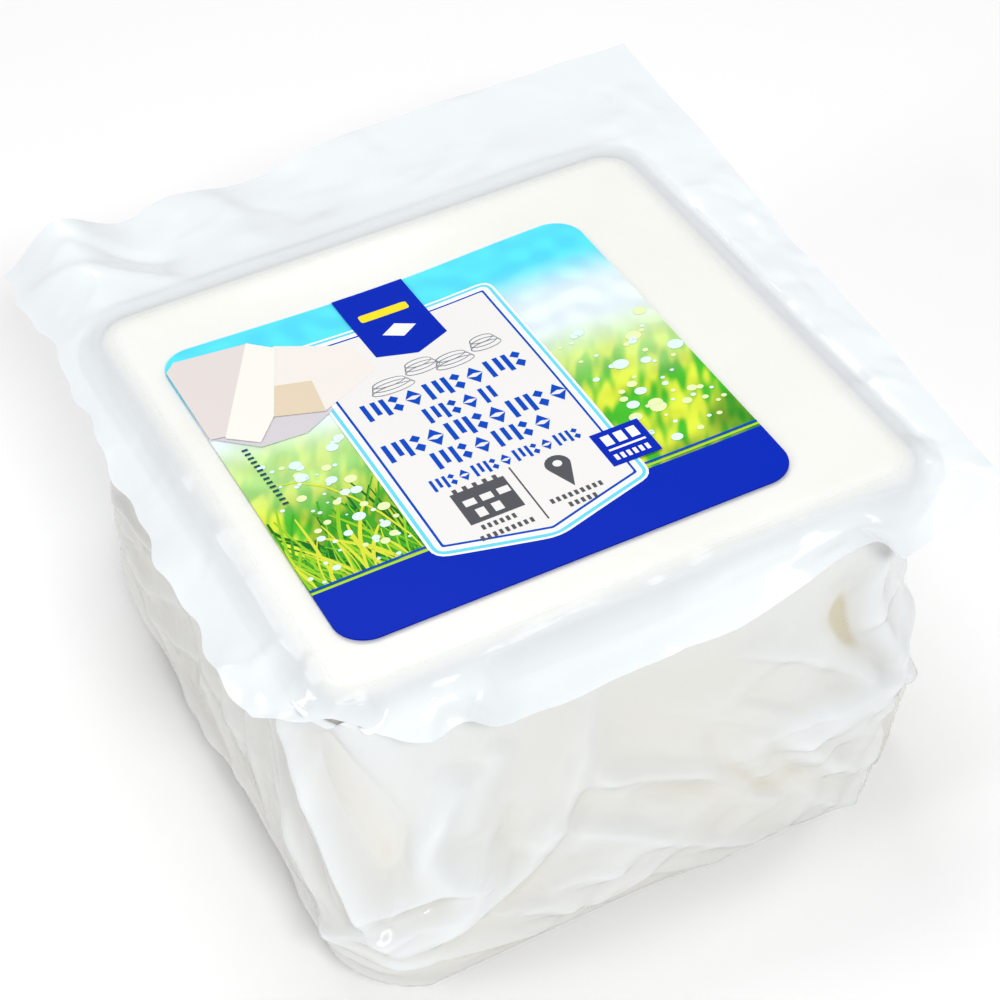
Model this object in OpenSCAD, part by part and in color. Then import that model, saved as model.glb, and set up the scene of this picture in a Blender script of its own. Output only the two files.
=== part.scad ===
// Vacuum pack of brined white cheese: one block in a deep-drawn film cup, closed by a
// flat lid film whose welded edge stands out all round as a flange, with a printed label.
// Millimetres. The origin is the middle of the base that the pack stands on, +Z is up,
// +Y is the label's top and the wide flange is behind it.

/* [Block] */
// Width of the block's top face, along X
block_w = 114; // [80:1:150]
// Depth of the block's top face, along Y
block_d = 113; // [80:1:150]
// Height from the base to the top of the block
block_h = 74.6; // [45:0.1:110]
// Radius of the corners of the top face
top_corner_r = 8; // [4:0.5:14]
// Rounding of the edge round the top face
top_edge_r = 4; // [2:0.5:7]

/* [Cup] */
// Radius of the upright corner at the front left
corner_r_front_left = 18; // [6:0.5:24]
// Radius of the upright corner at the front right, where the block is worn
corner_r_front_right = 28; // [8:0.5:30]
// Radius of the two upright corners at the back
corner_r_back = 14; // [6:0.5:22]
// Rounding of the edge round the base
base_edge_r = 12; // [6:0.5:20]
// How far the soft block bulges out of plumb low on the left side
sag_left = 3.2; // [0:0.5:8]
// How far it bulges low on the front
sag_front = 9.5; // [0:0.5:11]
// How far it bulges low on the right side
sag_right = 2; // [0:0.5:8]
// How far it bulges low on the back
sag_back = 2; // [0:0.5:6]
// Height at which it bulges most
sag_z = 20; // [8:1:30]

/* [Corner folds] */
// How proud the gathered film stands along the front left corner
fold_left_h = 2.6; // [0:0.2:5]
// Width of that fold under the flange
fold_left_w = 15; // [6:1:24]
// How proud the dog ear stands at the front right corner
fold_right_h = 1.8; // [0:0.2:6]
// Height of the dog ear's tip above the base
fold_right_z = 22; // [10:1:60]

/* [Lid film] */
// Thickness of the two welded films
film_t = 0.4; // [0.2:0.05:1]
// How far below the top face the flange leaves the block
root_drop = 3; // [1:0.5:6]
// Flange width on the left side at the front
flange_left_front = 11.5; // [6:0.5:20]
// Flange width on the left side at the back
flange_left_back = 6.5; // [4:0.5:20]
// Flange width on the right side at the front
flange_right_front = 8; // [6:0.5:24]
// Flange width on the right side at the back
flange_right_back = 17.5; // [6:0.5:30]
// Flange width along the front
flange_front = 10; // [6:0.5:20]
// Flange width along the back
flange_back = 34; // [10:0.5:45]
// Slope of the front flange, downwards, in degrees
droop_front = 44; // [0:1:60]
// Slope of the left flange at the front, in degrees
droop_left_front = 14; // [0:1:60]
// Slope of the left flange at the back, in degrees
droop_left_back = 26; // [0:1:60]
// Slope of the right flange, in degrees, where minus turns up
droop_right = 0; // [-20:1:30]
// Slope of the back flange, in degrees, where minus turns up
droop_back = 0; // [-12:1:30]
// Length cut off the front left corner of the flange, where it is folded under
corner_fold = 26; // [4:1:32]

/* [Label] */
// Side of the square label
label_side = 85; // [40:0.5:100]
// Radius of the label's corners
label_corner_r = 6; // [2:0.5:12]
// Thickness of the label
label_t = 0.2; // [0.1:0.05:0.5]
// Distance of the label's middle from the block's middle, to the left
label_left = 6.2; // [-12:0.1:12]
// Distance of the label's middle from the block's middle, to the front
label_front = 2.9; // [-12:0.1:12]

/* [Hidden] */

half_w = block_w / 2;
half_d = block_d / 2;

// ---- shared functions -------------------------------------------------------------

// A smooth step from 0 at t = 0 to 1 at t = 1
function ease(t) = let (c = min(1, max(0, t))) c * c * (3 - 2 * c);
// A bell of height 1 centred on 0
function bell(x, half_width) = exp(-pow(x / half_width, 2));
// A value between a and b
function mix(a, b, t) = a + (b - a) * t;

// ---- the cup: the block with its film drawn tight round it ---------------------------

arc_steps = 10;      // steps round each upright corner
side_steps = 18;     // steps along each side
base_steps = 6;      // rings round the base edge
wall_steps = 9;      // rings up the wall
edge_steps = 3;      // rings round the top edge
ring_points = 4 * (arc_steps + side_steps);

// Corner radii in turn: front right, back right, back left, front left
wall_radii = [corner_r_front_right, corner_r_back, corner_r_back, corner_r_front_left];

// Share of the low bulge at a height
function sag_share(z) = z < sag_z
    ? ease(z / sag_z * 0.5 + 0.5)
    : 1 - ease((z - sag_z) / (block_h - sag_z));

// Share of the wall's own corner radii, which change into the top face's radius
function wall_share(z) = 1 - ease((z - 0.6 * block_h) / (0.4 * block_h));

function corner_radius(k, z) = mix(top_corner_r, wall_radii[k], wall_share(z));

// Half sizes of the section at a height: [right, back, left, front]
function reach(z) = [
    half_w + sag_right * sag_share(z),
    half_d + sag_back * sag_share(z),
    half_w + sag_left * sag_share(z),
    half_d + sag_front * sag_share(z)
];

// Point i of the section's outline at height z, taken in by inset, as [x, y, turn],
// where turn is the direction that the wall faces
function section_point(i, z, inset) =
    let (
        k = floor(i / (arc_steps + side_steps)),
        j = i - k * (arc_steps + side_steps),
        far = reach(z),
        sx = [1, 1, -1, -1],
        sy = [-1, 1, 1, -1],
        r = max(corner_radius(k, z) - inset, 0.5),
        rx = (sx[k] > 0 ? far[0] : far[2]) - inset - r,
        ry = (sy[k] > 0 ? far[1] : far[3]) - inset - r,
        n = (k + 1) % 4,
        r2 = max(corner_radius(n, z) - inset, 0.5),
        nx = (sx[n] > 0 ? far[0] : far[2]) - inset - r2,
        ny = (sy[n] > 0 ? far[1] : far[3]) - inset - r2,
        turn = -90 + 90 * k,
        from = [sx[k] * rx + r * cos(turn + 90), sy[k] * ry + r * sin(turn + 90)],
        to = [sx[n] * nx + r2 * cos(turn + 90), sy[n] * ny + r2 * sin(turn + 90)],
        t = (j - arc_steps) / side_steps
    )
    j < arc_steps
        ? [sx[k] * rx + r * cos(turn + 90 * j / arc_steps),
           sy[k] * ry + r * sin(turn + 90 * j / arc_steps),
           turn + 90 * j / arc_steps]
        : [mix(from[0], to[0], t), mix(from[1], to[1], t), turn + 90];

// How proud the gathered film stands at a point of the wall
function fold_height(x, y, z) =
    let (
        up = z / block_h,
        left_taper = ease(up * 4) * ease((1 - up) * 5),
        left_width = mix(3, fold_left_w / 2, up),
        left_away = norm([x + half_w + 1, y + half_d + 1]),
        right_away = norm([x - half_w, y + half_d]),
        right_taper = bell(z - fold_right_z, 13)
    )
    fold_left_h * left_taper * bell(left_away, left_width)
    + fold_right_h * right_taper * bell(right_away, 9);

function wall_point(i, z, inset) =
    let (
        p = section_point(i, z, inset),
        f = inset < 0.5 ? fold_height(p[0], p[1], z) : 0
    )
    [p[0] + f * cos(p[2]), p[1] + f * sin(p[2]), z];

// Heights and insets of the rings, from the base to the top face
wall_low = base_edge_r;
wall_high = block_h - top_edge_r;
function base_ring(a) =
    let (t = 90 * a / base_steps)
    [base_edge_r * (1 - cos(t)), base_edge_r * (1 - sin(t))];
function wall_ring(a) = [mix(wall_low, wall_high, a / wall_steps), 0];
function edge_ring(a) =
    let (t = 90 * a / edge_steps)
    [wall_high + top_edge_r * sin(t), top_edge_r * (1 - cos(t))];

profile = concat(
    [for (a = [0 : base_steps - 1]) base_ring(a)],
    [for (a = [0 : wall_steps - 1]) wall_ring(a)],
    [for (a = [0 : edge_steps]) edge_ring(a)]
);

module cup() {
    n = ring_points;
    last = (len(profile) - 1) * n;
    points = [
        for (ring = profile)
            for (i = [0 : n - 1]) wall_point(i, ring[0], ring[1])
    ];
    sides = [
        for (k = [0 : len(profile) - 2])
            for (i = [0 : n - 1])
                let (a = k * n + i, b = k * n + (i + 1) % n)
                each [[a, a + n, b + n], [a, b + n, b]]
    ];
    // the flat base and top are closed by triangles round a middle point
    middle = len(points);
    base = [for (i = [0 : n - 1]) [middle, i, (i + 1) % n]];
    top = [for (i = [0 : n - 1]) [middle + 1, last + (i + 1) % n, last + i]];
    color([0.96, 0.95, 0.91])
        polyhedron(
            points = concat(points, [[0, 0, 0], [0, 0, block_h]]),
            faces = concat(sides, base, top),
            convexity = 4
        );
}

// ---- the lid: a sheet over the block that runs out into the flange ---------------------

flange_rings = 6;    // rings across the flange
round_rings = 3;     // rings over the block's rounded top edge

// Waves of the flange's edge: [place along the side, half width before it, half width
// after it, degrees that it lifts by]
front_waves = [[-40, 8, 7, 46], [37, 25, 6, 62], [66, 8, 8, 62]];
left_waves = [[-34, 6, 6, 6], [-8, 7, 7, 7], [30, 8, 8, 6]];
right_waves = [[-20, 9, 9, 3], [14, 8, 8, -4], [52, 12, 12, 3]];
back_waves = [[-63, 7, 7, -8], [-50, 5, 5, 4], [-37, 7, 7, -6], [-10, 14, 12, -6]];

function lift(waves, at, k = 0) = k >= len(waves) ? 0
    : waves[k][3] * bell(at - waves[k][0], at < waves[k][0] ? waves[k][1] : waves[k][2])
      + lift(waves, at, k + 1);

// The block's outline at its top face, where the wall is plumb
function top_point(i) = section_point(i, block_h, 0);

// Width of the flange beside the block, at a place along Y, on the right or the left
function side_width(right, y) =
    let (back = y / block_d + 0.5)
    right ? mix(flange_right_front, flange_right_back, back)
          : mix(flange_left_front, flange_left_back, pow(min(1, max(0, back)), 2));

// The flange's outer edge opposite point i of the block's outline: along each side and
// out to a sharp corner
function edge_point(i) =
    let (
        k = floor(i / (arc_steps + side_steps)),
        j = i - k * (arc_steps + side_steps),
        p = top_point(i),
        sx = [1, 1, -1, -1][k],
        sy = [-1, 1, 1, -1][k],
        corner_y = sy * (half_d + (sy > 0 ? flange_back : flange_front)),
        corner_x = sx * (half_w + side_width(sx > 0, corner_y)),
        // 1 at the ends of the corner's arc and 0 at its middle
        turned = abs(2 * j / arc_steps - 1),
        beside = (k == 0 || k == 2) ? j > arc_steps / 2 : j < arc_steps / 2,
        y = beside ? mix(corner_y, sy * (half_d - top_corner_r), turned) : corner_y,
        q = j < arc_steps
            ? [beside ? sx * (half_w + side_width(sx > 0, y))
                      : mix(corner_x, sx * (half_w - top_corner_r), turned), y]
          : (k == 0 || k == 2) ? [sx * (half_w + side_width(sx > 0, p[1])), p[1]]
          : [p[0], sy > 0 ? half_d + flange_back : -half_d - flange_front],
        // the corner that is folded under is taken back to a slanting line
        over = max(0, corner_fold - (q[0] + half_w + flange_left_front)
                                  - (q[1] + half_d + flange_front))
    )
    [q[0] + over / 2, q[1] + over / 2];

// Slope of the flange at a point in the direction n, blended round the corners
function slope(p, n) =
    let (
        left = mix(droop_left_front, droop_left_back, (p[1] + half_d) / block_d)
               - lift(left_waves, p[1]),
        right = droop_right - lift(right_waves, p[1]),
        front = droop_front - lift(front_waves, p[0]),
        back = droop_back - lift(back_waves, p[0])
    )
    (n[0] < 0 ? left : right) * n[0] * n[0] + (n[1] < 0 ? front : back) * n[1] * n[1];

// Point of the flange a share t of the way from the block to the flange's edge
function flange_point(i, t) =
    let (
        b = top_point(i),
        e = edge_point(i),
        far = [e[0] - b[0], e[1] - b[1]],
        p = [b[0] + far[0] * t, b[1] + far[1] * t],
        qx = max(abs(p[0]) - (half_w - top_corner_r), 0),
        qy = max(abs(p[1]) - (half_d - top_corner_r), 0),
        l = norm([qx, qy]),
        n = [sign(p[0]) * qx / l, sign(p[1]) * qy / l],
        away = l - top_corner_r,
        s = slope(p, n),
        // the sheet keeps its width as it slopes
        pull = away * (1 - cos(s))
    )
    [p[0] - pull * n[0], p[1] - pull * n[1], block_h - root_drop - away * sin(s)];

// Rings of the sheet over the block: [inset from the outline, drop below the top face]
root_turn = acos(1 - root_drop / (top_edge_r + film_t));
over_block = [
    for (a = [0 : round_rings - 1])
        let (turn = root_turn * a / round_rings, r = top_edge_r + film_t)
        [top_edge_r - r * sin(turn), r * (1 - cos(turn))]
];

function sheet_point(k, i) = k < round_rings
    ? let (p = section_point(i, block_h, over_block[k][0]))
      [p[0], p[1], block_h - over_block[k][1]]
    : flange_point(i, (k - round_rings) / flange_rings);

module lid() {
    n = ring_points;
    rows = round_rings + flange_rings + 1;
    count = rows * n;
    under = [for (k = [0 : rows - 1]) for (i = [0 : n - 1]) sheet_point(k, i)];
    gap = 0.1;
    points = concat(
        [for (p = under) p + [0, 0, gap]], [for (p = under) p + [0, 0, gap + film_t]],
        [[0, 0, block_h + gap], [0, 0, block_h + gap + film_t]]
    );
    middle = 2 * count;
    sheet = [
        for (k = [0 : rows - 2])
            for (i = [0 : n - 1])
                let (a = k * n + i, b = k * n + (i + 1) % n)
                each [
                    [a, b + n, b], [a, a + n, b + n],
                    [count + a, count + b, count + b + n], [count + a, count + b + n, count + a + n]
                ]
    ];
    centre = [
        for (i = [0 : n - 1])
            let (a = i, b = (i + 1) % n)
            each [[middle, a, b], [middle + 1, count + b, count + a]]
    ];
    edge = [
        for (i = [0 : n - 1])
            let (a = count - n + i, b = count - n + (i + 1) % n)
            each [[a, count + b, b], [a, count + a, count + b]]
    ];
    color([0.93, 0.95, 0.96])
        polyhedron(points = points, faces = concat(sheet, centre, edge), convexity = 6);
}

// ---- the label ----------------------------------------------------------------------

module label() {
    inner = label_side / 2 - label_corner_r;
    color([0.1, 0.25, 0.72])
        translate([-label_left, -label_front, block_h + film_t + 0.1])
            linear_extrude(label_t)
                union() {
                    square([label_side, 2 * inner], center = true);
                    square([2 * inner, label_side], center = true);
                    for (sx = [-1, 1])
                        for (sy = [-1, 1])
                            translate([sx * inner, sy * inner]) circle(label_corner_r, $fn = 48);
                }
}

cup();
lid();
label();
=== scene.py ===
import math

import bpy
import numpy as np
from mathutils import Matrix, Vector
from mathutils.kdtree import KDTree


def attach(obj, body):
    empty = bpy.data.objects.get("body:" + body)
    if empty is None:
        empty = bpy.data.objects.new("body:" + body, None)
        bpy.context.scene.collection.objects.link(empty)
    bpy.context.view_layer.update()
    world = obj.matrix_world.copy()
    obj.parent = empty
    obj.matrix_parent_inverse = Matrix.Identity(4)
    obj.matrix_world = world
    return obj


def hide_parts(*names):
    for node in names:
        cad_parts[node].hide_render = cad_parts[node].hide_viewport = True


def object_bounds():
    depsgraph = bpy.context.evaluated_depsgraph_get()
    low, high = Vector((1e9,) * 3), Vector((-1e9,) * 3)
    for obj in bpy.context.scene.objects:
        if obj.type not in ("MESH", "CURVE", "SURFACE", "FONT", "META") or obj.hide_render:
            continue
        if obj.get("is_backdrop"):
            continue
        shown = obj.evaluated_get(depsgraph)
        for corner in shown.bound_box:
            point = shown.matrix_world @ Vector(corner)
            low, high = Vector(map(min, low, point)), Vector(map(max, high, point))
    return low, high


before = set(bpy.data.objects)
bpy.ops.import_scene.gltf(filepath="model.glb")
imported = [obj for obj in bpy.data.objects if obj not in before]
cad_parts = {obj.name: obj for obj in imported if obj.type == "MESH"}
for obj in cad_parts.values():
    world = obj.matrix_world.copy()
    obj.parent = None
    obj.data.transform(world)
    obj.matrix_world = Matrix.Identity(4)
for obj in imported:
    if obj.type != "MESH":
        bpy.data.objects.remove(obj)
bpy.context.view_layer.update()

# ------------------------------------------------------------------ the cheese block
# One block of white brined cheese of about a kilogram, cut square and pressed a little
# out of plumb by the vacuum. Its top edge is crisp, its base edge and corners are worn
# round. It is made as a sheet wrapped round the block's section and closed at both ends.
MM = 0.001
half_w, half_d, block_h = 57.0, 56.5, 74.6
upright_r = np.array([28.0, 14.0, 14.0, 18.0])   # front right, back right, back left, front left
top_corner_r, base_edge_r = 8.0, 12.0
root_drop = 3.0      # from the block's top to the weld at the front
bulge_right, bulge_back, bulge_left, bulge_front, bulge_z = 2.0, 2.0, 3.2, 9.5, 20.0
side_x = np.array([1.0, 1.0, -1.0, -1.0])
side_y = np.array([-1.0, 1.0, 1.0, -1.0])
cheese_cream = (0.905, 0.897, 0.855)


def ease(t):
    c = np.clip(t, 0.0, 1.0)
    return c * c * (3 - 2 * c)


def bell(d, width):
    return np.exp(-(d / width) ** 2)


def spread_columns(arcs, sides):
    """Which corner each upright line of the sheet belongs to, how far along, and if it is on the arc."""
    corner, along, on_arc = [], [], []
    for c in range(4):
        corner += [c] * (arcs[c] + sides[c])
        along += [j / arcs[c] for j in range(arcs[c])] + [j / sides[c] for j in range(sides[c])]
        on_arc += [True] * arcs[c] + [False] * sides[c]
    return np.array(corner), np.array(along), np.array(on_arc)


def block_section(columns, z, inset):
    """Points of the block's outline at height z taken in by inset, and the way the wall faces."""
    corner, along, on_arc = columns
    share = ease(z / bulge_z * 0.5 + 0.5) if z < bulge_z else 1 - ease((z - bulge_z) / (block_h - bulge_z))
    lower = 1 - ease((z - 0.6 * block_h) / (0.4 * block_h))
    right, left = half_w + bulge_right * share, half_w + bulge_left * share
    back, front = half_d + bulge_back * share, half_d + bulge_front * share
    r = np.maximum(top_corner_r + (upright_r - top_corner_r) * lower - inset, 0.5)
    cx = side_x * (np.where(side_x > 0, right, left) - inset - r)
    cy = side_y * (np.where(side_y > 0, back, front) - inset - r)
    turn = np.radians(-90 + 90 * corner + 90 * along)
    end, nxt = np.radians(90 * corner), (corner + 1) % 4
    x0, y0 = cx[corner] + r[corner] * np.cos(end), cy[corner] + r[corner] * np.sin(end)
    x1, y1 = cx[nxt] + r[nxt] * np.cos(end), cy[nxt] + r[nxt] * np.sin(end)
    x = np.where(on_arc, cx[corner] + r[corner] * np.cos(turn), x0 + (x1 - x0) * along)
    y = np.where(on_arc, cy[corner] + r[corner] * np.sin(turn), y0 + (y1 - y0) * along)
    return x, y, np.where(on_arc, turn, end)


def dish(x, y):
    """The block's top is pressed a little hollow behind its middle."""
    return -1.7 * bell(x + 7, 30) * bell(y - 34, 26)


def sheet_level(away, nx, ny):
    """How high the sheet over the block lies: flush on the block, a little lower from its edge outwards,
    dropping at once at the front and slowly at the back and right."""
    right, left, back = np.clip(nx, 0, 1), np.clip(-nx, 0, 1), np.clip(ny, 0, 1)
    at_once = root_drop - 2.5 * right ** 2 - 2.5 * back ** 2 - 1.2 * left ** 2
    later = root_drop - at_once - 1.2 * right ** 2 - 1.2 * back ** 2
    return (block_h - at_once * ease((away + 6.0) / 10.5)
            - later * ease((away + 3.0) / (13.0 + 8.0 * right + 10.0 * back)))


def let_go():
    if bpy.context.object and bpy.context.object.mode != "OBJECT":
        bpy.ops.object.mode_set(mode="OBJECT")
    bpy.ops.object.select_all(action="DESELECT")


def wrapped_sheet(name, rings, closed=False):
    """A grid sheet bent round to a tube and welded along its seam. The columns of rings (rows x columns x 3,
    in mm) are its upright lines. A closed one has its two ends filled."""
    let_go()
    rows, cols = rings.shape[:2]
    bpy.ops.mesh.primitive_grid_add(x_subdivisions=cols, y_subdivisions=rows - 1, size=1)
    piece = bpy.context.object
    piece.name = piece.data.name = name
    flat = np.empty(len(piece.data.vertices) * 3)
    piece.data.vertices.foreach_get("co", flat)
    flat = flat.reshape(-1, 3)
    i = np.rint((flat[:, 0] + 0.5) * cols).astype(int)
    j = np.rint((flat[:, 1] + 0.5) * (rows - 1)).astype(int)
    piece.data.vertices.foreach_set("co", (rings[j, i % cols] * MM).ravel())
    bpy.ops.object.mode_set(mode="EDIT")
    bpy.ops.mesh.select_all(action="SELECT")
    bpy.ops.mesh.remove_doubles(threshold=0.000002)
    if closed:
        bpy.ops.mesh.fill_holes(sides=0)
    bpy.ops.mesh.select_all(action="SELECT")
    bpy.ops.mesh.normals_make_consistent(inside=False)
    bpy.ops.object.mode_set(mode="OBJECT")
    return piece


def smooth(piece):
    let_go()
    piece.select_set(True)
    bpy.ops.object.shade_smooth()


def put_on(piece, values, name):
    layer = piece.data.attributes.new(name, "FLOAT", "POINT")
    layer.data.foreach_set("value", np.ascontiguousarray(values, dtype=np.float32))


def material(name, colour, roughness, **sockets):
    made = bpy.data.materials.new(name)
    made.use_nodes = True
    shader = made.node_tree.nodes["Principled BSDF"]
    shader.inputs["Base Color"].default_value = (*colour, 1)
    shader.inputs["Roughness"].default_value = roughness
    for socket, value in sockets.items():
        shader.inputs[socket.replace("_", " ")].default_value = value
    return made, made.node_tree, shader


def node(tree, kind, **settings):
    made = tree.nodes.new(kind)
    for key, value in settings.items():
        if key in made.inputs:
            made.inputs[key].default_value = value
        else:
            setattr(made, key, value)
    return made


def profile(rise_to, wall_rows, base_rows=14, base_rings=8):
    """Heights, insets and lengths along the block's profile, from under the base up the wall."""
    out = [(0.0, inset, inset - base_edge_r) for inset in np.linspace(50, base_edge_r, base_rings)[:-1]]
    out = [(z, inset, -length) for z, inset, length in out]
    for a in np.radians(np.linspace(0, 90, base_rows))[:-1]:
        out.append((base_edge_r * (1 - math.cos(a)), base_edge_r * (1 - math.sin(a)), base_edge_r * a))
    start = base_edge_r * math.pi / 2
    for z in np.linspace(base_edge_r, rise_to, wall_rows):
        out.append((z, 0.0, start + z - base_edge_r))
    return out


skin_gap = 0.7         # from the plain wall of the pack in to the block
under_sheet = 0.32     # from the level of the sheet down to the block's top
cheese_columns = spread_columns([20, 14, 14, 16], [22, 24, 24, 24])
cheese_rings = []
for z, inset, length in profile(block_h - 4.4, 24):
    x, y, _ = block_section(cheese_columns, z + skin_gap, inset + skin_gap)
    cheese_rings.append(np.c_[x, y, np.full_like(x, z + skin_gap)])
for inset in np.r_[np.linspace(1.1, 8, 10), np.linspace(10, 50, 14)]:
    x, y, facing = block_section(cheese_columns, block_h, inset)
    level = sheet_level(-inset, np.cos(facing), np.sin(facing))
    cheese_rings.append(np.c_[x, y, level - under_sheet + dish(x, y) * ease(inset / 12)])
cheese = wrapped_sheet("cheese_block", np.array(cheese_rings), closed=True)
cheese_paste, tree, shader = material("cheese_paste", cheese_cream, 0.42, Subsurface_Weight=0.0, IOR=1.42)
place = node(tree, "ShaderNodeTexCoord")
crumb = node(tree, "ShaderNodeTexNoise", Scale=420.0, Detail=4.0, Roughness=0.6)
clouds = node(tree, "ShaderNodeTexNoise", Scale=38.0, Detail=3.0, Roughness=0.5)
tint = node(tree, "ShaderNodeValToRGB")
tint.color_ramp.elements[0].position, tint.color_ramp.elements[0].color = 0.30, (0.880, 0.868, 0.815, 1)
tint.color_ramp.elements[1].position, tint.color_ramp.elements[1].color = 0.70, (*cheese_cream, 1)
grain = node(tree, "ShaderNodeBump", Strength=0.15, Distance=0.0003)
tree.links.new(place.outputs["Object"], crumb.inputs["Vector"])
tree.links.new(place.outputs["Object"], clouds.inputs["Vector"])
tree.links.new(clouds.outputs["Fac"], tint.inputs["Fac"])
tree.links.new(tint.outputs["Color"], shader.inputs["Base Color"])
tree.links.new(crumb.outputs["Fac"], grain.inputs["Height"])
tree.links.new(grain.outputs["Normal"], shader.inputs["Normal"])
cheese.data.materials.append(cheese_paste)
smooth(cheese)
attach(cheese, "root")

# ------------------------------------------------------------------ the lid film and its flange
# Two clear films welded face to face: flat over the block, then standing out round it as
# a flange that is cut straight and has gone wavy. The weld is milky, and the film on the
# block is clear. It is made before the cup film, which reaches up to it.
flange_left_front, flange_left_back = 11.5, 6.5
flange_right_front, flange_right_back = 8.6, 16.8
flange_front, flange_back = 10.0, 33.4
corner_fold = (26.0, 20.5)   # how far the folded front left corner cuts in along the front and the left
corner_skew = 3.2            # how far the front edge runs back to the front right corner
lid_lift = 0.12              # the middle of the sheet over the level it lies at
# waves of the flange: where along its side, how far they reach each way, degrees of lift
front_waves = [(-40, 8, 7, 46), (37, 25, 6, 62), (66, 8, 14, 62)]
left_waves = [(-34, 6, 6, 6), (-8, 7, 7, 7), (30, 8, 8, 6)]
right_waves = [(-20, 9, 9, 3), (14, 8, 8, -4), (52, 12, 12, 3)]
back_waves = [(-63, 7, 7, -8), (-50, 5, 5, 4), (-37, 7, 7, -6), (-10, 14, 12, -6)]


def lift(waves, at):
    return sum(degrees * bell(at - centre, np.where(at < centre, before, after))
               for centre, before, after, degrees in waves)


def outward(x, y):
    """Distance outside the block's top outline, and the direction away from it."""
    qx = np.maximum(np.abs(x) - (half_w - top_corner_r), 0)
    qy = np.maximum(np.abs(y) - (half_d - top_corner_r), 0)
    far = np.maximum(np.hypot(qx, qy), 1e-6)
    return far - top_corner_r, np.sign(x) * qx / far, np.sign(y) * qy / far


def flange_slope(x, y, nx, ny):
    left = 14 + 12 * (y + half_d) / (2 * half_d) - lift(left_waves, y)
    right, front, back = -lift(right_waves, y), 44 - lift(front_waves, x), -lift(back_waves, x)
    return np.radians(np.where(nx < 0, left, right) * nx ** 2 + np.where(ny < 0, front, back) * ny ** 2)


def side_width(right_side, y):
    back = y / (2 * half_d) + 0.5
    return (flange_right_front + (flange_right_back - flange_right_front) * back if right_side
            else flange_left_front + (flange_left_back - flange_left_front) * np.clip(back, 0, 1) ** 2)


def flange_edge(columns):
    """The flange's outer edge opposite each column: along each side and out to a sharp corner."""
    corner, along, on_arc = columns
    px, py, _ = block_section(columns, block_h, 0)
    sx, sy = side_x[corner], side_y[corner]
    corner_y = sy * (half_d + np.where(sy > 0, flange_back, flange_front))
    corner_x = sx * (half_w + np.where(sx > 0, side_width(True, corner_y), side_width(False, corner_y)))
    turned = np.abs(2 * along - 1)
    even = (corner == 0) | (corner == 2)
    beside = np.where(even, along > 0.5, along < 0.5)
    y = np.where(beside, corner_y + (sy * (half_d - top_corner_r) - corner_y) * turned, corner_y)
    wide = np.where(sx > 0, side_width(True, y), side_width(False, y))
    x = np.where(beside, sx * (half_w + wide), corner_x + (sx * (half_w - top_corner_r) - corner_x) * turned)
    wide = np.where(sx > 0, side_width(True, py), side_width(False, py))
    x = np.where(on_arc, x, np.where(even, sx * (half_w + wide), px))
    end_y = np.where(sy > 0, half_d + flange_back, -half_d - flange_front)
    y = np.where(on_arc, y, np.where(even, py, end_y))
    fold_x, fold_y = corner_fold
    over = np.maximum(0, 1 - (x + half_w + flange_left_front) / fold_x - (y + half_d + flange_front) / fold_y)
    over = over / (1 / fold_x ** 2 + 1 / fold_y ** 2)
    x, y = x + over / fold_x, y + over / fold_y
    front_part = ease((-y - half_d + top_corner_r) / (flange_front + top_corner_r))
    y = y + corner_skew * ease((x - 40) / 20) * front_part
    wavy = np.sin(y / 1.9 + 1) * 0.35 + np.sin(y / 4.3) * 0.55
    wavy = wavy + np.sin(x / 2.3) * 0.25 + np.sin(x / 5.1 + 2) * 0.45
    left_edge = ease((-x - half_w + 2) / 4)
    return x + wavy * left_edge * 1.1, y + wavy * (1 - left_edge) * 0.5


def along_path(u, v, path):
    """Signed distance of points from a path of (u, v) corners, and how far along it they are, 0 to 1."""
    path = np.array(path, float)
    lengths = np.hypot(*(path[1:] - path[:-1]).T)
    run = np.r_[0, np.cumsum(lengths)]
    best, side, share = np.full(u.shape, 1e9), np.zeros(u.shape), np.zeros(u.shape)
    for k in range(len(lengths)):
        du, dv = (path[k + 1] - path[k]) / lengths[k]
        t = (u - path[k, 0]) * du + (v - path[k, 1]) * dv
        if k > 0 or k < len(lengths) - 1:
            t = np.clip(t, 0 if k else -1e9, lengths[k] if k < len(lengths) - 1 else 1e9)
        cu, cv = u - path[k, 0] - t * du, v - path[k, 1] - t * dv
        d = np.hypot(cu, cv)
        near = d < best
        best, side = np.where(near, d, best), np.where(near, np.sign(du * cv - dv * cu), side)
        share = np.where(near, (run[k] + t) / run[-1], share)
    return best * np.where(side == 0, 1, side), share


def crease(u, v, path, height, left, right, sharp=0.6, ends=0.15):
    """A fold of that height along a path: left and right are how far its two slopes reach."""
    d, share = along_path(u, v, path)
    reach = np.where(d > 0, left, right)
    shape = sharp * np.exp(-(np.hypot(d, 0.7) - 0.7) / reach) + (1 - sharp) * bell(d, reach)
    fade = ease((share + ends) / (2 * ends)) * ease((1 + ends - share) / (2 * ends))
    return height * shape * fade


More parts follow.
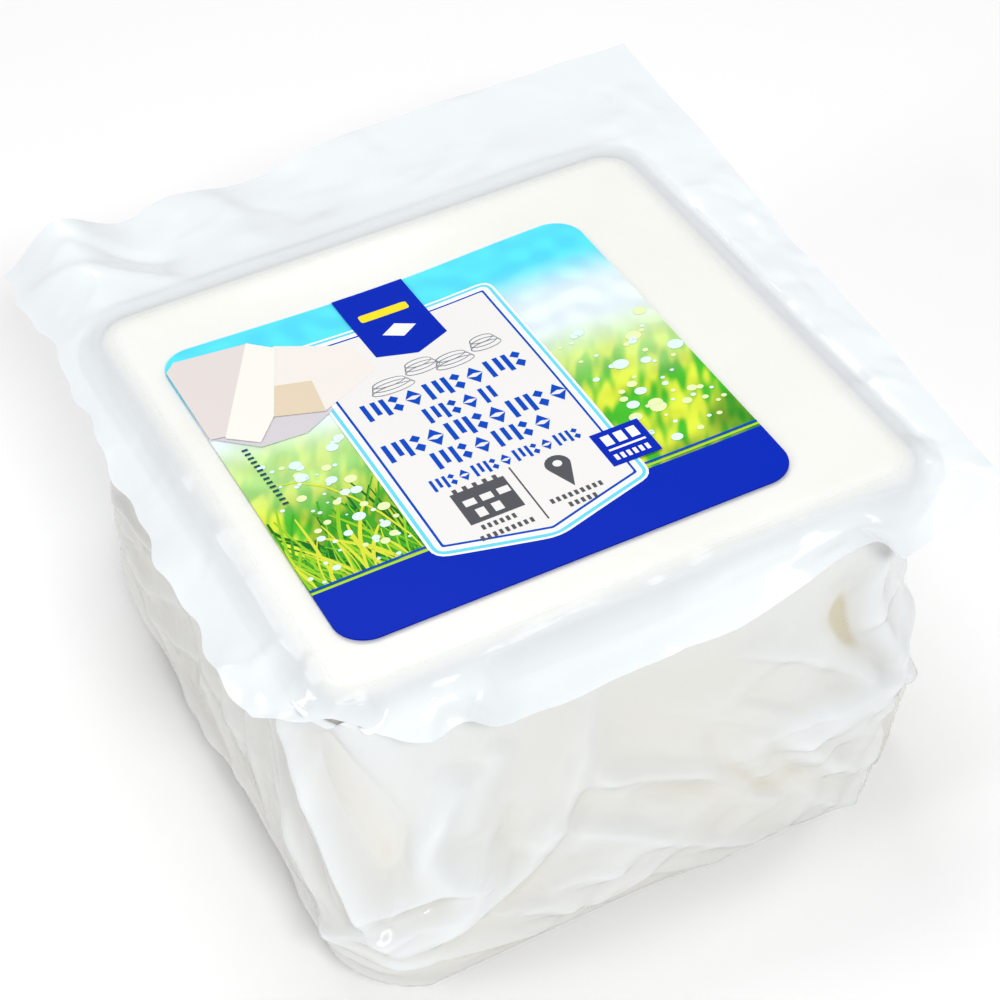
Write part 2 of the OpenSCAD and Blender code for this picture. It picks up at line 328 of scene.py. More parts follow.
lid_columns = spread_columns([44, 48, 48, 60], [104, 80, 96, 104])
top_x, top_y, _ = block_section(lid_columns, block_h, 0)
edge_x, edge_y = flange_edge(lid_columns)
lid_rings, lid_far = [], []
for inset in np.r_[np.linspace(52, 12, 12), np.linspace(10, 0.8, 12)]:
    x, y, facing = block_section(lid_columns, block_h, inset)
    lid_rings.append(np.c_[x, y, sheet_level(-inset, np.cos(facing), np.sin(facing))])
    lid_far.append(np.full_like(x, -inset))
for t in np.linspace(0, 1, 36):
    x, y = top_x + (edge_x - top_x) * t, top_y + (edge_y - top_y) * t
    away, nx, ny = outward(x, y)
    away = np.maximum(away, 0)
    slope = flange_slope(x, y, nx, ny)
    pull = away * (1 - np.cos(slope))
    lid_rings.append(np.c_[x - pull * nx, y - pull * ny, sheet_level(away, nx, ny) - away * np.sin(slope)])
    lid_far.append(away)
lid_rings, lid_far = np.array(lid_rings), np.array(lid_far)
lx, ly, lz = lid_rings[..., 0], lid_rings[..., 1], lid_rings[..., 2]

# folds of the sheet in plan: path in mm, height, slopes to its left and right, sharpness
sheet_folds = [
    ([(55, -58.3), (42, -56), (30, -55.4), (14, -55), (1, -56.6), (-13, -55.4), (-26, -57), (-36, -58)],
     0.9, 1.6, 1.0, 0.5),
    ([(50, -54), (30, -52.5), (8, -52.8), (-8, -53.2)], 0.25, 1.2, 1.2, 0.5),
    ([(46, -59.5), (25, -58.5), (8, -59.5)], 0.35, 1.2, 1.2, 0.5),
    ([(18, -60), (-2, -61.5), (-20, -61)], 0.4, 1.5, 1.2, 0.5),
    ([(-57.5, -50), (-57.8, -20), (-57.4, 12), (-58.2, 45)], 0.5, 1.2, 1.6, 0.4),
    ([(-55, 57.5), (-25, 58.2), (10, 57.8), (40, 58.4), (55, 57.6)], 0.45, 1.4, 1.6, 0.4),
    ([(58, 52), (58.8, 20), (58.2, -10), (59, -48)], -0.55, 1.4, 1.4, 0.3),
    ([(-60, 78), (-48, 72), (-40, 66), (-36, 60)], 0.9, 2.2, 3.5, 0.5),
    ([(-52, 88), (-44, 78), (-34, 70)], -0.8, 2.5, 2.5, 0.4),
    ([(-20, 88), (-17, 76), (-19, 66)], 0.7, 3.0, 4.0, 0.3),
    ([(-2, 88), (0, 78), (-3, 68)], -0.7, 4.0, 3.0, 0.3),
    ([(12, 90), (13, 80), (9, 70)], 0.6, 3.0, 4.0, 0.3),
    ([(38, 90), (34, 76), (36, 64)], 0.45, 5.0, 5.0, 0.2),
    ([(70, 74), (62, 66), (57, 62)], 0.5, 3.0, 4.0, 0.3),
    ([(72, 40), (66, 34), (60, 33)], 0.45, 3.0, 3.0, 0.3),
    ([(70, 6), (65, 2), (60, 3)], -0.5, 3.0, 3.0, 0.3),
    ([(67, -28), (63, -32), (59, -30)], 0.45, 2.5, 3.0, 0.3),
    ([(64, -62), (60, -56), (56, -54)], 0.7, 2.0, 3.0, 0.5),
    ([(-68, -34), (-63, -38), (-58, -37)], 0.7, 1.5, 2.0, 0.5),
    ([(-60, -56), (-55, -55), (-49, -57)], 0.9, 1.5, 2.0, 0.5),
    ([(-52, -66), (-49, -61), (-44, -58.5)], 0.4, 1.8, 1.6, 0.6),
    ([(-45, -68), (-42, -62), (-39, -58.5)], -0.6, 2.0, 1.6, 0.5),
    ([(-62, -49), (-57, -51), (-53, -55)], -0.8, 1.6, 1.6, 0.5),
    ([(-38, -67), (-35, -62), (-30, -59)], 0.9, 1.6, 2.2, 0.5),
]
rise = np.zeros_like(lx)
for path, height, left, right, sharp in sheet_folds:
    rise += crease(lx, ly, path, height, left, right, sharp)
chance = np.random.default_rng(7)
for _ in range(130):
    c = chance.integers(0, lx.shape[1])
    at = chance.uniform(0.15, 1.0)
    x0, y0 = top_x[c] + (edge_x[c] - top_x[c]) * at, top_y[c] + (edge_y[c] - top_y[c]) * at
    turn, length = chance.uniform(0, math.pi), chance.uniform(5, 16)
    path = [(x0, y0), (x0 + length / 2 * math.cos(turn), y0 + length / 2 * math.sin(turn)),
            (x0 + length * math.cos(turn + 0.3), y0 + length * math.sin(turn + 0.3))]
    rise += crease(lx, ly, path, chance.uniform(-0.32, 0.32), 1.2, 2.2, 0.5)
steady = ease((lid_far + 5.5) / 4)      # the sheet is pressed flat on the block's top
lz = lz + rise * steady + np.where(lid_far < 0, dish(lx, ly) * ease(-lid_far / 12), 0)
lid_rings[..., 2] = lz + lid_lift
lid = wrapped_sheet("lid_film", lid_rings)


def vertex_places(piece):
    flat = np.empty(len(piece.data.vertices) * 3)
    piece.data.vertices.foreach_get("co", flat)
    return flat.reshape(-1, 3) / MM


at = vertex_places(lid)
far, _, _ = outward(at[:, 0], at[:, 1])
put_on(lid, ease((far + 5.5) / 6.0) * (0.80 + 0.20 * ease((far + 0.5) / 3.0)), "lifted")
lid_material, tree, shader = material("welded_film", (0.846, 0.888, 0.914), 0.11, IOR=1.5)
lifted = node(tree, "ShaderNodeAttribute", attribute_name="lifted")
place = node(tree, "ShaderNodeTexCoord")
cover = node(tree, "ShaderNodeMapRange", **{"From Min": 0.0, "From Max": 1.0, "To Min": 0.12, "To Max": 0.90})
ripple = node(tree, "ShaderNodeTexNoise", Scale=90.0, Detail=3.0, Roughness=0.55)
bump = node(tree, "ShaderNodeBump", Strength=0.25, Distance=0.0006)
tree.links.new(lifted.outputs["Fac"], cover.inputs["Value"])
tree.links.new(cover.outputs["Result"], shader.inputs["Alpha"])
tree.links.new(place.outputs["Object"], ripple.inputs["Vector"])
tree.links.new(ripple.outputs["Fac"], bump.inputs["Height"])
tree.links.new(bump.outputs["Normal"], shader.inputs["Normal"])
lid.data.materials.append(lid_material)
smooth(lid)
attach(lid, "root")
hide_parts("lid")

# ------------------------------------------------------------------ the cup film
# The lower film, drawn round the block by the vacuum. It clings to the cheese on the
# flats, stands off it in webs under the flange and at the corners, and gathers there
# in folds. Where it stands off it looks milky, and where it clings it is clear.
# Its colour also carries painted shade, a darker tan in the hollows of its folds and in the recess beside the
# web at the right.
cup_columns = spread_columns([64, 24, 24, 60], [50, 60, 104, 132])
corner, along, on_arc = cup_columns
side_lengths = 2 * np.array([half_w, half_d, half_w, half_d])   # front, right, back, left
corner_at = np.cumsum(side_lengths)
next_at = corner_at + np.roll(side_lengths, -1)
start_at, end_at = corner_at - upright_r, next_at - np.roll(upright_r, -1)
round_s = np.where(on_arc, start_at[corner] + 2 * upright_r[corner] * along,
                   corner_at[corner] + upright_r[corner]
                   + (end_at[corner] - corner_at[corner] - upright_r[corner]) * along)
# mm round the pack from the front left corner, less than nothing on the left side
round_s = np.where(round_s > 340, round_s - corner_at[3], round_s)
cup_profile = profile(block_h - root_drop, 128, base_rows=22)
cup_rings, cup_face, cup_t = [], [], []
for z, inset, length in cup_profile:
    x, y, facing = block_section(cup_columns, z, inset)
    down = -(base_edge_r - min(z, base_edge_r)) / base_edge_r if z < base_edge_r else 0.0
    flat = math.sqrt(max(0.0, 1 - down * down))
    cup_rings.append(np.c_[x, y, np.full_like(x, z)])
    cup_face.append(np.c_[np.cos(facing) * flat, np.sin(facing) * flat, np.full_like(x, down)])
    cup_t.append(np.full_like(x, length))
cup_rings, cup_face, t = np.array(cup_rings), np.array(cup_face), np.array(cup_t)
s = np.broadcast_to(round_s, t.shape)
# folds of the film: path as (mm round the pack, mm up the profile), height, slopes above
# or left of the path and below or right of it, sharpness
cup_folds = [
    # the ridge that runs from under the flange down to the front left corner
    ([(-24, 72), (-21, 64), (-14, 57), (-10, 50), (-6, 42), (-2, 35), (2, 31)], 2.6, 5.0, 2.0, 0.7),
    ([(-10, 72), (-4, 62), (2, 52), (8, 44)], -1.8, 6.0, 8.0, 0.1),
    ([(-32, 68), (-27, 52), (-23, 39), (-14, 29)], 0.9, 1.8, 2.4, 0.6),
    ([(-40, 66), (-40, 35), (-37, 22), (-25, 19)], 0.5, 1.6, 2.0, 0.6),
    ([(-17, 50), (-12, 42), (-8, 34)], 0.5, 1.0, 1.2, 0.6),
    # the bottom left corner, where folds meet
    ([(-2, 36), (6, 39), (14, 41), (23, 39)], 1.2, 4.5, 0.9, 0.7),
    ([(0, 33), (8, 37), (15, 38)], -0.9, 1.2, 1.8, 0.5),
    ([(-16, 25), (-5, 30), (2, 32), (9, 35), (16, 36), (24, 40)], 1.7, 1.6, 2.4, 0.6),
    ([(3, 29), (16, 33), (25, 36), (32, 41), (38, 47), (42, 55), (44, 66)], 1.1, 2.2, 2.8, 0.4),
    ([(10, 27), (22, 30), (31, 35), (37, 41), (42, 48)], -0.8, 1.5, 1.5, 0.5),
    ([(9, 31), (18, 37), (24, 42), (28, 48)], -0.6, 1.4, 1.4, 0.5),
    ([(-13, 27), (-3, 26), (6, 25), (14, 24)], 0.9, 1.3, 1.6, 0.6),
    ([(0, 22), (12, 23.5), (21, 20.5), (30, 17)], -0.9, 0.8, 1.0, 0.7),
    ([(0, 24.5), (12, 26), (21, 23), (32, 19)], 0.9, 1.6, 1.0, 0.6),
    ([(-27, 19), (-16, 21), (-6, 22), (3, 20)], 0.8, 1.4, 1.6, 0.6),
    ([(-22, 14), (-10, 16), (2, 15), (12, 13)], 0.7, 1.4, 1.6, 0.6),
    # the long folds across the front
    ([(42, 49), (51, 46.5), (62, 41.5), (69, 37)], 1.2, 2.2, 1.5, 0.5),
    ([(50, 43), (60, 38.5), (68, 34)], -0.7, 1.2, 2.0, 0.5),
    ([(64, 42), (70, 36), (74, 31), (80, 26)], -1.0, 1.2, 1.2, 0.7),
    ([(36, 43), (44, 39), (52, 33.5), (61, 26), (72, 18)], 1.3, 1.4, 2.2, 0.6),
    ([(33, 31), (39, 31.5), (46, 29)], 0.8, 1.2, 1.4, 0.6),
    ([(28, 29), (32, 27), (37, 24)], 0.7, 1.2, 1.4, 0.6),
    ([(50, 24), (60, 18), (68, 14)], 0.5, 1.4, 1.6, 0.5),
    ([(22, 60), (16, 54), (12, 47), (16, 42)], 1.0, 3.0, 3.5, 0.2),
    ([(30, 62), (24, 56), (20, 49)], 0.8, 3.0, 3.0, 0.2),
    ([(30, 50), (27, 45), (29, 40)], -0.8, 2.2, 2.2, 0.3),
    # the web under the lifted flange at the right, and the dog ear at its foot
    ([(70, 61), (82, 56.5), (90, 51.5), (101, 43)], 1.4, 7.0, 1.0, 0.6),
    ([(101, 43), (91, 45), (82, 45.5), (74, 44)], 1.1, 1.8, 1.6, 0.6),
    ([(83.5, 66), (92, 57.5), (99.5, 50), (105, 42)], -1.6, 2.8, 2.8, 0.3),
    ([(91.5, 70), (98.5, 60.5), (104.5, 51.5), (108.5, 42)], 1.5, 2.8, 9.0, 0.5),
    ([(117, 78), (117, 62), (116, 50), (114, 40)], 1.5, 8.0, 6.0, 0.2),
    ([(101, 43), (106, 41), (112, 37), (118, 33)], 2.6, 3.0, 3.0, 0.6),
    ([(104, 44), (112, 46), (120, 50)], 1.0, 1.6, 1.6, 0.6),
    ([(71, 52.5), (76, 50), (81, 47)], -0.5, 1.0, 1.2, 0.6),
    ([(72, 45), (78, 41.5), (84, 41)], 0.6, 1.2, 1.2, 0.6),
    ([(82, 40), (90, 32), (96, 26), (105, 21)], -0.7, 1.4, 1.4, 0.6),
    ([(75, 44), (76, 36), (81, 30.5), (90, 24)], -0.9, 2.2, 2.2, 0.35),
    ([(80, 42), (83, 34), (90, 29), (98, 27)], 0.9, 2.2, 1.8, 0.4),
    ([(64, 48), (67, 40), (71, 35)], -0.6, 1.6, 1.6, 0.4),
    ([(70, 31), (80, 27), (88, 20), (96, 15)], 0.8, 1.2, 1.6, 0.6),
    ([(96, 41), (104, 36), (112, 28)], 0.7, 1.4, 1.4, 0.6),
    ([(92, 38), (100, 31), (106, 25)], 0.6, 1.2, 1.4, 0.6),
    ([(98, 45.5), (106, 38), (114, 31), (122, 24)], -0.6, 1.2, 1.4, 0.6),
    # the left side
    ([(-98, 33), (-88, 35), (-72, 47), (-60, 58)], 0.9, 1.8, 2.0, 0.5),
    ([(-92, 29), (-77, 32), (-64, 41)], 0.9, 1.6, 2.0, 0.6),
    ([(-86, 30), (-75, 20), (-61, 20)], 0.8, 1.6, 1.8, 0.6),
    ([(-78, 17), (-64, 19), (-48, 25)], 0.9, 1.5, 2.0, 0.6),
    ([(-62, 34), (-53, 26), (-38, 21)], 0.7, 1.6, 1.8, 0.6),
    ([(-70, 60), (-62, 50), (-58, 40)], 0.7, 3.0, 3.0, 0.3),
    ([(-50, 62), (-48, 48), (-50, 36)], 0.6, 3.0, 3.5, 0.3),
]
fold_depth = 1.35
off = 0.35 * np.sin(s / 31.0 + 1.3) * np.sin(t / 17.0 + 0.4) + 0.25 * np.sin(s / 13.0 + t / 9.0)
for path, height, left, right, sharp in cup_folds:
    off = off + crease(s, t, path, fold_depth * height, left, right, min(sharp + 0.1, 0.8))
# fans of fine folds: where they start (mm round the pack, mm up the profile), first and
# last direction in degrees, how many, how far they reach, how deep
fans = [(104, 42, 172, 262, 34, 40, 0.75), (2, 27, 8, 80, 22, 34, 0.7), (-2, 28, 100, 175, 12, 34, 0.4),
        (64, 32, 150, 215, 18, 30, 0.6), (-70, 24, 20, 70, 12, 40, 0.35), (88, 60, 190, 260, 12, 22, 0.4),
        (-8, 74, 205, 262, 10, 40, 0.5)]
for s0, t0, first, last, count, reach, size in fans:
    for _ in range(count):
        a = math.radians(chance.uniform(first, last))
        near, length = chance.uniform(1, reach * 0.6), chance.uniform(0.3, 0.8) * reach
        bend = chance.uniform(-0.35, 0.35)
        path = [(s0 + far * math.cos(a + turn), t0 + far * math.sin(a + turn))
                for far, turn in ((near, 0), (near + length / 2, bend / 2), (near + length, bend))]
        height = chance.uniform(0.4, 1.0) * size
        off = off + crease(s, t, path, height, chance.uniform(1.0, 1.6), chance.uniform(2.2, 5.0), 0.6, 0.3)
# the sides that face away carry the same kind of folds: some fan out of each corner and
# some run along the foot of the wall
for corner_s, count in ((227, 16), (341, 16), (-113, 10), (114, 7)):
    for _ in range(count):
        height_at = chance.uniform(22, 58)
        way = chance.choice([-1, 1])
        length, lean = chance.uniform(12, 34), chance.uniform(-0.9, 0.5)
        path = [(corner_s + way * 2, height_at),
                (corner_s + way * (2 + length / 2), height_at + lean * length / 2),
                (corner_s + way * (2 + length), height_at + lean * length * 0.7)]
        height = chance.uniform(0.4, 1.2)
        off = off + crease(s, t, path, height, chance.uniform(1.2, 2.6), chance.uniform(1.2, 3.0), 0.55)
for _ in range(44):
    s0, t0 = chance.uniform(128, 335), chance.uniform(12, 48)
    length, lean = chance.uniform(12, 40), chance.uniform(-0.4, 0.4)
    path = [(s0, t0), (s0 + length / 2, t0 + lean * length / 2), (s0 + length, t0 + lean * length * 0.6)]
    height = chance.uniform(-0.7, 1.0)
    off = off + crease(s, t, path, height, chance.uniform(1.2, 2.6), chance.uniform(1.2, 3.0), 0.5)
for _ in range(60):
    s0, t0 = chance.uniform(-113, 340), chance.uniform(2, 26)
    length, lean = chance.uniform(6, 18), chance.uniform(-0.6, 0.6)
    path = [(s0, t0), (s0 + length, t0 + lean * length)]
    off = off + crease(s, t, path, chance.uniform(-0.35, 0.5), 1.0, 1.5, 0.6)
# the film leaves the block under the flange and reaches out to the weld
weld_gap, floor_gap = 0.15, 0.02   # under the lid's sheet, and over the floor
root_t = base_edge_r * math.pi / 2 + block_h - root_drop - base_edge_r
tent_x, tent_y = flange_edge(cup_columns)
tent_room = outward(tent_x, tent_y)[0] - 0.7
off = off + 3.2 * np.exp(-(root_t - t) / 5.5)
off = np.where(t > root_t - 10, np.minimum(off, np.maximum(tent_room, 0.6)), off)
off = sum(np.roll(off, a, 1) for a in (-1, 0, 1)) / 3
off = off * ease((t + 6) / 14)          # flat where the pack stands
film_at = cup_rings + cup_face * np.maximum(off, -0.5)[..., None]
away, nx, ny = outward(film_at[..., 0], film_at[..., 1])
slope = flange_slope(film_at[..., 0], film_at[..., 1], nx, ny)
under = sheet_level(away, nx, ny) - np.maximum(away, 0) * np.tan(slope) - weld_gap
reach = ease((t - root_t + 7) / 7)
film_at[..., 2] = np.minimum(film_at[..., 2] + np.maximum(under - film_at[..., 2], 0) * reach, under)
film_at[..., 2] = np.maximum(film_at[..., 2], floor_gap)
cup = wrapped_sheet("cup_film", film_at)
# how far the film stands off the cheese, for how milky it looks, with painted shade: the hollows of its folds
# and the recess beside the web at the right are set lower, so they take a darker tan
film_points = film_at.reshape(-1, 3)
finder = KDTree(len(film_points))
for k, p in enumerate(film_points):
    finder.insert(p, k)
finder.balance()
nearest = np.array([finder.find(p)[1] for p in vertex_places(cup)])
standoff_and_shade = off + 2.6 * bell(s - 8, 24) * ease((t - 34) / 22) + 2.2 * bell(s - 108, 12) * ease((t - 40) / 12)
# painted shade and light: the hollows of the folds are pushed towards the darker tan and their ridges towards
# white
relief = sum(np.roll(off, (a, b), (0, 1)) for a in (-5, 0, 5) for b in (-5, 0, 5)) / 9
standoff_and_shade = standoff_and_shade + 0.8 * (off - relief) + 0.8 * ease((t - 55) / 14)
# painted shade: the recess behind the left edge of the web at the right turns a darker tan, lighter at its
# upper end
beside, share = along_path(s, t, [(83.5, 66), (92, 57.5), (99.5, 50), (105, 42)])
pocket_shade = ease((5.0 * (1.12 - share) - np.abs(beside)) / 3.2) * ease((1.2 - beside) / 2.6) * ease(share * 5)
standoff_and_shade = standoff_and_shade - 5.8 * pocket_shade
standoff_and_shade = sum(np.roll(standoff_and_shade, (a, b), (0, 1)) for a in (-1, 0, 1) for b in (-2, -1, 0, 1, 2)) / 15
clinging, full_stand = 0.24, 7.5
put_on(cup, np.clip(standoff_and_shade.ravel()[nearest] / full_stand + clinging, 0, 1), "lifted")
cup_material, tree, shader = material("clinging_film", (0.84, 0.88, 0.90), 0.10, IOR=1.5)
lifted = node(tree, "ShaderNodeAttribute", attribute_name="lifted")
place = node(tree, "ShaderNodeTexCoord")
cover = node(tree, "ShaderNodeMapRange", **{"From Min": 0.0, "From Max": 1.0, "To Min": 0.55, "To Max": 0.95})
# the film's colour: a darker tan as painted shade for the hollows of the folds and the recess, then the
# cheese's cream where the film clings, then milky bluish white where it stands off
tone_and_shade_ramp = node(tree, "ShaderNodeValToRGB")
tone_and_shade_ramp.color_ramp.elements[0].position, tone_and_shade_ramp.color_ramp.elements[0].color = 0.0, (0.74, 0.67, 0.46, 1)
tone_and_shade_ramp.color_ramp.elements[1].position, tone_and_shade_ramp.color_ramp.elements[1].color = 0.75, (0.86, 0.885, 0.892, 1)
tone_and_shade_ramp.color_ramp.elements.new(0.10).color = (0.83, 0.80, 0.69, 1)
middle = tone_and_shade_ramp.color_ramp.elements.new(0.22)
middle.color = (0.895, 0.890, 0.852, 1)
tree.links.new(lifted.outputs["Fac"], tone_and_shade_ramp.inputs["Fac"])
tree.links.new(tone_and_shade_ramp.outputs["Color"], shader.inputs["Base Color"])
ripple = node(tree, "ShaderNodeTexNoise", Scale=70.0, Detail=4.0, Roughness=0.55)
bump = node(tree, "ShaderNodeBump", Strength=0.35, Distance=0.0010)
tree.links.new(lifted.outputs["Fac"], cover.inputs["Value"])
tree.links.new(cover.outputs["Result"], shader.inputs["Alpha"])
tree.links.new(place.outputs["Object"], ripple.inputs["Vector"])
tree.links.new(ripple.outputs["Fac"], bump.inputs["Height"])
tree.links.new(bump.outputs["Normal"], shader.inputs["Normal"])
cup.data.materials.append(cup_material)
smooth(cup)
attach(cup, "root")
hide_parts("cup")

# ------------------------------------------------------------------ the printed label
# A satin self-adhesive paper square, printed in the usual way of such packs: a blue sky
# over a blurred meadow, a blue band along the foot, a pale panel with rows of ornament,
# a blue tab, and a drawing of cut cheese. It lies on the film and follows its hollow.
label_left, label_right, label_foot, label_head, label_round = -48.8, 36.2, -45.4, 39.7, 6.0
label_mid_x, label_mid_y = (label_left + label_right) / 2, (label_foot + label_head) / 2
label_rise, ink_layer = 0.30, 0.045   # the label's face over the block, and from one layer of ink to the next
label_cell = 4.5                      # side of the cells that let a flat shape follow the hollow
band_top = -31.6
print_finish = {"roughness": 0.38, "Specular_IOR_Level": 0.05}


def ink(r, g, b):
    """A printed colour given as 0-255 steps, as the shader wants it."""
    c = np.array([r, g, b], float) / 255
    return tuple(np.where(c <= 0.04045, c / 12.92, ((c + 0.055) / 1.055) ** 2.4))


def label_height(x, y, layer):
    return block_h + label_rise + dish(x, y) + 0.06 * np.sin(x / 6 + 1) * np.sin(y / 7) + ink_layer * layer


def blur_noise(x, y, seed, size, stretch=1.0, turn=0.0):
    """Smooth unevenness between 0 and 1, drawn out along one direction."""
    pick = np.random.default_rng(seed)
    u, v = x * math.cos(turn) + y * math.sin(turn), (y * math.cos(turn) - x * math.sin(turn)) * stretch
    total = np.zeros(np.shape(x))
    for k in range(14):
        a, f = pick.uniform(0, 2 * math.pi), pick.uniform(0.6, 1.8) / size
        total = total + np.sin(f * (u * math.cos(a) + v * math.sin(a)) + pick.uniform(0, 6.28))
    return np.clip(0.5 + total / 7.5, 0, 1)


def mix(a, b, t):
    return np.array(a) * (1 - t[..., None]) + np.array(b) * t[..., None]


label_steps = 190
let_go()
bpy.ops.mesh.primitive_grid_add(x_subdivisions=label_steps, y_subdivisions=label_steps, size=1)
stock = bpy.context.object
stock.name = "label_stock"
at = vertex_places(stock) * MM
x = label_left + (at[:, 0] + 0.5) * (label_right - label_left)
y = label_foot + (at[:, 1] + 0.5) * (label_head - label_foot)
for cx, cy in [(cx, cy) for cx in (label_left, label_right) for cy in (label_foot, label_head)]:
    ox = cx + math.copysign(label_round, label_mid_x - cx)
    oy = cy + math.copysign(label_round, label_mid_y - cy)
    dx, dy = x - ox, y - oy
    corner_part = (dx * (cx - ox) > 0) & (dy * (cy - oy) > 0)
    square = np.maximum(np.abs(dx), np.abs(dy)) / np.maximum(np.hypot(dx, dy), 1e-9)
    x, y = np.where(corner_part, ox + dx * square, x), np.where(corner_part, oy + dy * square, y)
stock.data.vertices.foreach_set("co", (np.c_[x, y, label_height(x, y, 0)] * MM).ravel())
haze, band_blue = ink(228, 240, 247), ink(0, 40, 180)
sky = mix(haze, ink(88, 222, 253), ease((y - 17 + 7 * blur_noise(x, y, 3, 14)) / 17))
streak = 0.5 * blur_noise(x, y, 5, 1.1, 0.3, math.radians(-26))
streak = streak + 0.5 * blur_noise(x, y, 6, 0.5, 0.35, math.radians(-22))
patch = blur_noise(x, y, 8, 5.0)
grass = mix(ink(70, 186, 44), ink(218, 232, 66), ease(streak * 1.9 - 0.50 + 0.14 * ease((x - 5) / 20)))
grass = mix(grass, ink(36, 130, 34), ease((patch - 0.50) * 3.2) * ease(-y / 26) * 0.8)
grass = mix(grass, ink(206, 236, 160), ease((y + 11 + 6 * patch) / 20) * 0.85)
horizon = 10.5 + 5 * (blur_noise(x, y, 11, 8) - 0.5)
colour = mix(sky, grass, 1 - ease((y - horizon + 11) / 12))
colour = np.where((y < band_top)[:, None], band_blue, colour)
ring = blur_noise(x, y, 21, 1.1)
colour = colour * (0.93 + 0.14 * ring[..., None])
shade = stock.data.color_attributes.new("print", "FLOAT_COLOR", "POINT")
shade.data.foreach_set("color", np.c_[np.clip(colour, 0, 1), np.ones(len(x))].astype(np.float32).ravel())
stock_material, tree, shader = material("printed_paper", (1, 1, 1), **print_finish)
inked = node(tree, "ShaderNodeAttribute", attribute_name="print")
tree.links.new(inked.outputs["Color"], shader.inputs["Base Color"])
stock.data.materials.append(stock_material)
bpy.ops.object.modifier_add(type="SOLIDIFY")
stock.modifiers[-1].thickness, stock.modifiers[-1].offset = 0.2 * MM, -1
bpy.ops.object.modifier_apply(modifier=stock.modifiers[-1].name)
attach(stock, "root")
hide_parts("label")


def printed(name, outlines, colour, layer, cell=0):
    """Filled flat outlines in mm laid over the label, cut into cells so that they follow its hollow."""
    pieces = []
    for outline in outlines:
        let_go()
        bpy.ops.mesh.primitive_circle_add(vertices=len(outline), fill_type="NGON", radius=1)
        for vertex, (px, py) in zip(bpy.context.object.data.vertices, outline):
            vertex.co = (px * MM, py * MM, 0)
        pieces.append(bpy.context.object)
    let_go()
    for piece in pieces:
        piece.select_set(True)
    piece = bpy.context.view_layer.objects.active = pieces[0]
    if len(pieces) > 1:
        bpy.ops.object.join()
    piece.name = piece.data.name = name
    if cell:
        bpy.ops.object.mode_set(mode="EDIT")
        for axis, first, last in ((0, label_left, label_right), (1, label_foot, label_head)):
            for k in range(1, int((last - first) / cell)):
                bpy.ops.mesh.select_all(action="SELECT")
                spot, way = [0, 0, 0], [0, 0, 0]
                spot[axis], way[axis] = (first + k * cell) * MM, 1
                bpy.ops.mesh.bisect(plane_co=spot, plane_no=way)
        bpy.ops.object.mode_set(mode="OBJECT")
    at = vertex_places(piece)
    at[:, 2] = label_height(at[:, 0], at[:, 1], layer)
    piece.data.vertices.foreach_set("co", (at * MM).ravel())
    bpy.ops.object.mode_set(mode="EDIT")
    bpy.ops.mesh.select_all(action="SELECT")
    bpy.ops.mesh.normals_make_consistent(inside=False)
    bpy.ops.object.mode_set(mode="OBJECT")
    if sum(face.normal.z for face in piece.data.polygons) < 0:
        piece.data.flip_normals()
    paint, _, _ = material(name, colour, **print_finish)
    piece.data.materials.append(paint)
    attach(piece, "root")


def oblong(x0, y0, x1, y1):
    return [(x0, y0), (x1, y0), (x1, y1), (x0, y1)]


def disc(x, y, r, flat=1.0, steps=14):
    turns = np.linspace(0, 2 * math.pi, steps + 1)[:-1]
    return [(x + r * math.cos(a), y + r * flat * math.sin(a)) for a in turns]


def stroke(points, width):
    """A line drawn through points with a pen that wide in the middle and half of it at its ends."""
    points = np.array(points, float)
    run = np.gradient(points, axis=0)
    side = np.c_[-run[:, 1], run[:, 0]] / np.maximum(np.hypot(run[:, 0], run[:, 1]), 1e-9)[:, None]
    wide = width / 2 * (0.5 + 0.5 * np.sin(np.linspace(0, math.pi, len(points))))[:, None]
    return [tuple(p) for p in points + side * wide] + [tuple(p) for p in (points - side * wide)[::-1]]


def inset_outline(points, d):
    """A convex outline, given anticlockwise, taken in by d."""
    points, out = [np.array(p, float) for p in points], []
    for k, p in enumerate(points):
        a, b = p - points[k - 1], points[(k + 1) % len(points)] - p
        na, nb = np.array([-a[1], a[0]]) / np.hypot(*a), np.array([-b[1], b[0]]) / np.hypot(*b)
        out.append(p + (na + nb) * d / (1 + na @ nb))
    return out


def rounded(points, radius, steps=5):
    """A convex outline with its corners rounded."""
    out = []
    for k, p in enumerate(points):
        before, after = np.array(points[k - 1]) - p, np.array(points[(k + 1) % len(points)]) - p
        a, b = p + before / np.hypot(*before) * radius, p + after / np.hypot(*after) * radius
        for f in np.linspace(0, 1, steps):
            out.append(tuple((1 - f) ** 2 * a + 2 * f * (1 - f) * np.array(p) + f * f * b))
    return out


# ------------------------------------------------------------------ the band along the label's foot
# Flat blue ink across the foot of the label, out to its rounded corners, with a green
# and a blue line along its upper edge.
pale_cyan, line_blue = ink(110, 216, 248), ink(4, 72, 190)
white_ink, panel_ink, grey_ink = ink(248, 248, 248), ink(235, 234, 232), ink(84, 86, 92)
r = label_round
band = [(label_left + 0.02, band_top + 0.4), (label_left + 0.02, label_foot + r)]
band += [(label_left + r - r * math.cos(a), label_foot + r - r * math.sin(a))
         for a in np.linspace(0.15, math.pi / 2, 9)]
band += [(label_right - r + r * math.sin(a), label_foot + r - r * math.cos(a))
         for a in np.linspace(0, math.pi / 2 - 0.15, 9)]
band += [(label_right - 0.02, label_foot + r), (label_right - 0.02, band_top - 0.5)]
printed("label_band", [band], band_blue, 2, cell=label_cell)
printed("band_green_line", [oblong(label_left + 0.02, band_top + 0.2, label_right - 0.02, band_top + 0.75)],
        ink(170, 215, 60), 3, cell=label_cell)
printed("band_blue_line", [oblong(label_left + 0.02, band_top + 0.95, label_right - 0.02, band_top + 1.45)],
        line_blue, 3, cell=label_cell)

